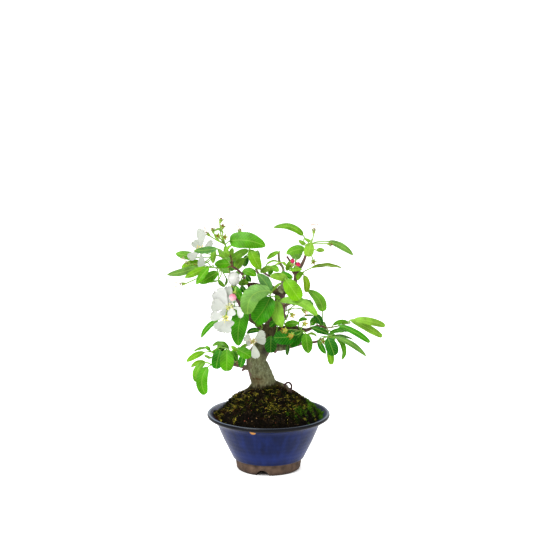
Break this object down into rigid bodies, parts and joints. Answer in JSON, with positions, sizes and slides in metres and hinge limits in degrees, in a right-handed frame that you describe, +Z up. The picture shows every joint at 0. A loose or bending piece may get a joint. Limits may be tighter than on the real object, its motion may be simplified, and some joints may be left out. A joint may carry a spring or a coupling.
{
  "type": "potted bonsai tree",
  "caption": "Flowering crabapple bonsai with an upright leaning trunk, leafy shoots, white blossom and buds, in a round glazed pot on a bare clay foot.",
  "frame": {"origin": "centre of the whole object's footprint, on the plane that the pot's foot stands on", "axes": "+Z up, -Y the front, from which the trunk leans to the right at its top, +X to the right"},
  "size_m": [0.253, 0.1492, 0.303],
  "materials": {
    "pot_glaze": "gloss cobalt blue glaze, bare dark clay on the foot",
    "screen_plastic": "matt black mesh",
    "mossy_soil": "moist organic soil with moss",
    "bark": "grey-brown bark with pale lichen",
    "leaf": "fresh green leaf, satin above, paler below",
    "petal": "white petal",
    "stamen": "cream filaments with yellow anthers",
    "pink_bud": "pale pink petals",
    "crimson_bud": "crimson petals"
  },
  "bodies": {
    "root": {"pot": "pot_glaze", "drainage_screen": "screen_plastic", "soil_mound": "mossy_soil", "wood": "bark", "shoot_far_left": "leaf", "shoot_upper_left": "leaf", "shoot_top_left": "leaf", "shoot_top_middle": "leaf", "shoot_inner_left": "leaf", "shoot_blossom_left": "leaf", "shoot_middle_left": "leaf", "shoot_behind_blossom": "leaf", "shoot_front": "leaf", "shoot_knee": "leaf", "shoot_knee_low": "leaf", "shoot_lime": "leaf", "shoot_stub": "leaf", "shoot_stub_top": "leaf", "shoot_top_right": "leaf", "shoot_buds": "leaf", "shoot_olive": "leaf", "shoot_long_stalk": "leaf", "shoot_right_tip": "leaf", "shoot_right_low": "leaf", "shoot_flower_hub": "leaf", "shoot_right_dark": "leaf", "shoot_low_right": "leaf", "shoot_low_blossom": "leaf", "shoot_low_left": "leaf", "shoot_low_left_hanging": "leaf", "shoot_low_left_front": "leaf", "shoot_back_left": "leaf", "shoot_back_middle": "leaf", "shoot_back_top": "leaf", "shoot_back_right": "leaf", "shoot_back_low": "leaf", "shoot_back_high_right": "leaf", "shoot_back_far_right": "leaf", "shoot_back_low_left": "leaf", "blossom_top_left_petals": "petal", "blossom_top_left_stamens": "stamen", "blossom_cup_petals": "petal", "blossom_cup_stamens": "stamen", "blossom_upper_petals": "petal", "blossom_upper_stamens": "stamen", "blossom_lower_petals": "petal", "blossom_lower_stamens": "stamen", "blossom_low_centre_petals": "petal", "blossom_low_centre_stamens": "stamen", "blossom_back_left_petals": "petal", "blossom_back_left_stamens": "stamen", "blossom_back_right_petals": "petal", "blossom_back_right_stamens": "stamen", "bud_pink": "pink_bud", "bud_crimson_a": "crimson_bud", "bud_crimson_b": "crimson_bud"}
  },
  "joints": []
}
